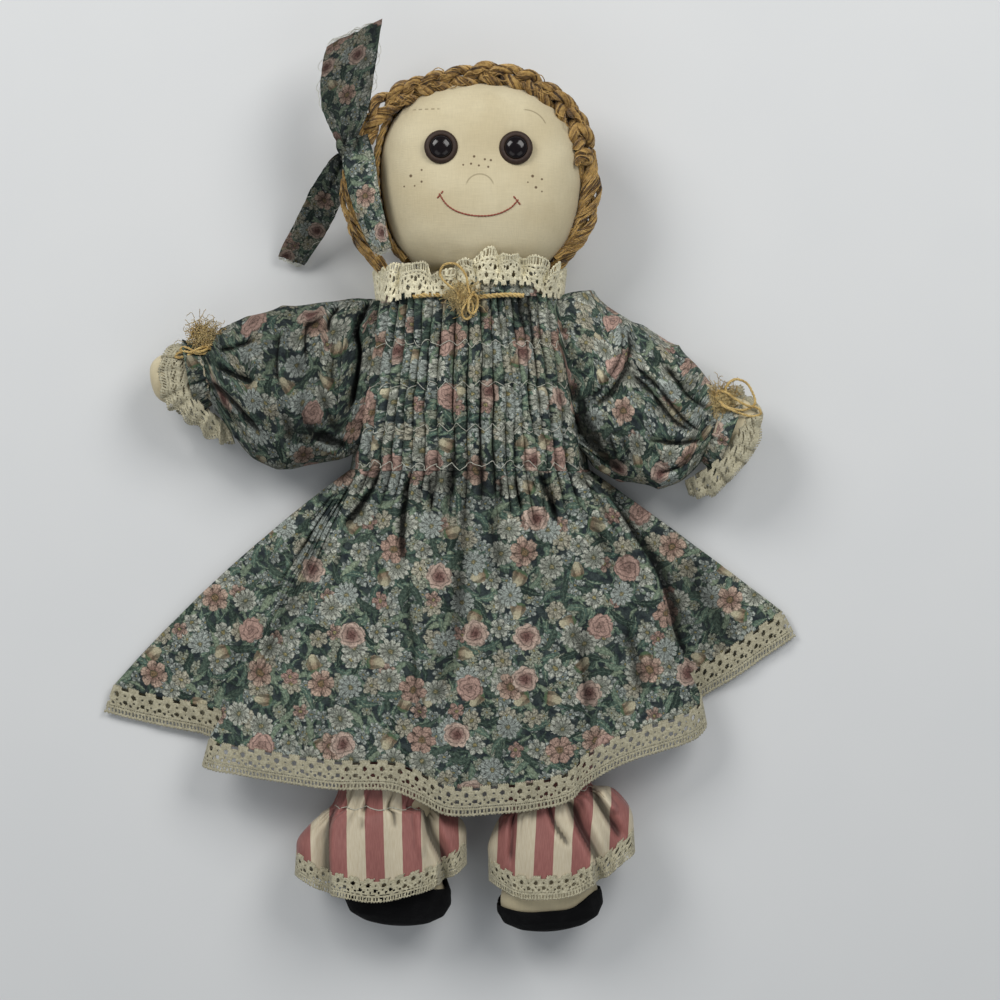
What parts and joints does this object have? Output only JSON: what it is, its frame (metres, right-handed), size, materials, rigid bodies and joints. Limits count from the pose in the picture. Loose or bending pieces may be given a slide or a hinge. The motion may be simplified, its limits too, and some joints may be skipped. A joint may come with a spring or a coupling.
{
  "type": "rag doll",
  "caption": "Soft cotton rag doll lying on its back, with floppy arms and legs, a nodding head, yarn hair, button eyes, a pleated lace-trimmed dress, bloomers and cloth shoes.",
  "frame": {"origin": "middle of the flat under the back of the dress, which the doll lies on", "axes": "+Z out of the doll's front, +Y towards its head, +X towards its left arm"},
  "size_m": [0.2785, 0.3581, 0.0563],
  "materials": {
    "calico": "unbleached plain-weave cotton",
    "filling": "loose polyester filling",
    "floral_cotton": "printed cotton with a small floral",
    "striped_cotton": "woven rose and cream stripe",
    "cotton_lace": "ecru cotton bobbin lace",
    "hair_yarn": "matt golden brown yarn",
    "gold_yarn": "gold brown twine",
    "pale_thread": "off-white sewing thread",
    "mouth_thread": "red-brown embroidery thread",
    "eye_plastic": "polished dark brown",
    "black_felt": "black cloth"
  },
  "bodies": {
    "torso": {"torso_skin": "calico", "torso_filling": "filling", "bloomers_seat": "striped_cotton", "bodice_front": "floral_cotton", "bodice_back": "floral_cotton", "collar_lace": "cotton_lace", "neck_drawstring": "gold_yarn", "neck_bow": "gold_yarn", "shirring_thread_1": "pale_thread", "shirring_thread_2": "pale_thread", "shirring_thread_3": "pale_thread", "shirring_thread_4": "pale_thread", "skirt_back": "floral_cotton", "hem_lace_back": "cotton_lace"},
    "neck": {"neck": "calico"},
    "head": {"head_skin": "calico", "head_filling": "filling", "eye_left": "eye_plastic", "eye_right": "eye_plastic", "mouth_thread": "mouth_thread", "hair_back": "hair_yarn", "plait_strand_1": "hair_yarn", "plait_strand_2": "hair_yarn", "plait_strand_3": "hair_yarn", "hair_lock_left": "hair_yarn", "hair_lock_right": "hair_yarn", "ribbon_knot": "floral_cotton", "ribbon_tail_upper": "floral_cotton", "ribbon_tail_outer": "floral_cotton", "ribbon_tail_face": "floral_cotton"},
    "shoulder_left": {"shoulder_tab_left": "calico"},
    "shoulder_right": {"shoulder_tab_right": "calico"},
    "lap": {"skirt_front": "floral_cotton", "hem_lace_front": "cotton_lace", "hip_tab_left": "calico", "hip_tab_right": "calico"},
    "arm_left": {"arm_skin_left": "calico", "arm_filling_left": "filling", "sleeve_left": "floral_cotton", "cuff_lace_left": "cotton_lace", "wrist_tie_left": "gold_yarn", "wrist_bow_left": "gold_yarn"},
    "leg_left": {"leg_skin_left": "calico", "leg_filling_left": "filling", "shoe_left": "black_felt", "bloomers_leg_left": "striped_cotton", "leg_elastic_left": "pale_thread", "bloomers_lace_left": "cotton_lace"},
    "arm_right": {"arm_skin_right": "calico", "arm_filling_right": "filling", "sleeve_right": "floral_cotton", "cuff_lace_right": "cotton_lace", "wrist_tie_right": "gold_yarn", "wrist_bow_right": "gold_yarn"},
    "leg_right": {"leg_skin_right": "calico", "leg_filling_right": "filling", "shoe_right": "black_felt", "bloomers_leg_right": "striped_cotton", "leg_elastic_right": "pale_thread", "bloomers_lace_right": "cotton_lace"}
  },
  "joints": [
    {"name": "neck_nod", "type": "hinge", "parent": "torso", "child": "neck", "pos_m": [0.00195, 0.04675, 0.0242], "axis": [1, 0, 0], "range_deg": [0, 30], "deforming": ["collar_lace"]},
    {"name": "neck_tilt", "type": "hinge", "parent": "neck", "child": "head", "pos_m": [0.00195, 0.04675, 0.0242], "axis": [0, 0, 1], "range_deg": [-8, 8], "deforming": ["collar_lace"]},
    {"name": "shoulder_swing_left", "type": "hinge", "parent": "torso", "child": "shoulder_left", "pos_m": [0.042, 0.024, 0.018], "axis": [0, 0, 1], "range_deg": [-20, 40], "deforming": ["sleeve_left"]},
    {"name": "shoulder_swing_right", "type": "hinge", "parent": "torso", "child": "shoulder_right", "pos_m": [-0.042, 0.024, 0.018], "axis": [0, 0, 1], "range_deg": [-20, 30], "deforming": ["sleeve_right"]},
    {"name": "shoulder_lift_left", "type": "hinge", "parent": "shoulder_left", "child": "arm_left", "pos_m": [0.042, 0.024, 0.018], "axis": [-0.454, -0.891, 0], "range_deg": [0, 75], "deforming": ["sleeve_left"]},
    {"name": "shoulder_lift_right", "type": "hinge", "parent": "shoulder_right", "child": "arm_right", "pos_m": [-0.042, 0.024, 0.018], "axis": [-0.2079, 0.9781, 0], "range_deg": [0, 75], "deforming": ["sleeve_right"]},
    {"name": "hip_fold", "type": "hinge", "parent": "torso", "child": "lap", "pos_m": [0, -0.0671, 0.0166], "axis": [-1, 0, 0], "range_deg": [0, 80], "deforming": ["skirt_front", "hem_lace_front", "bloomers_leg_left", "bloomers_leg_right"]},
    {"name": "leg_splay_left", "type": "hinge", "parent": "lap", "child": "leg_left", "pos_m": [0.021, -0.0671, 0.0166], "axis": [0, 0, 1], "range_deg": [0, 20], "deforming": ["skirt_front", "hem_lace_front", "bloomers_leg_left"]},
    {"name": "leg_splay_right", "type": "hinge", "parent": "lap", "child": "leg_right", "pos_m": [-0.021, -0.0671, 0.0166], "axis": [0, 0, 1], "range_deg": [-20, 0], "deforming": ["skirt_front", "hem_lace_front", "bloomers_leg_right"]}
  ]
}
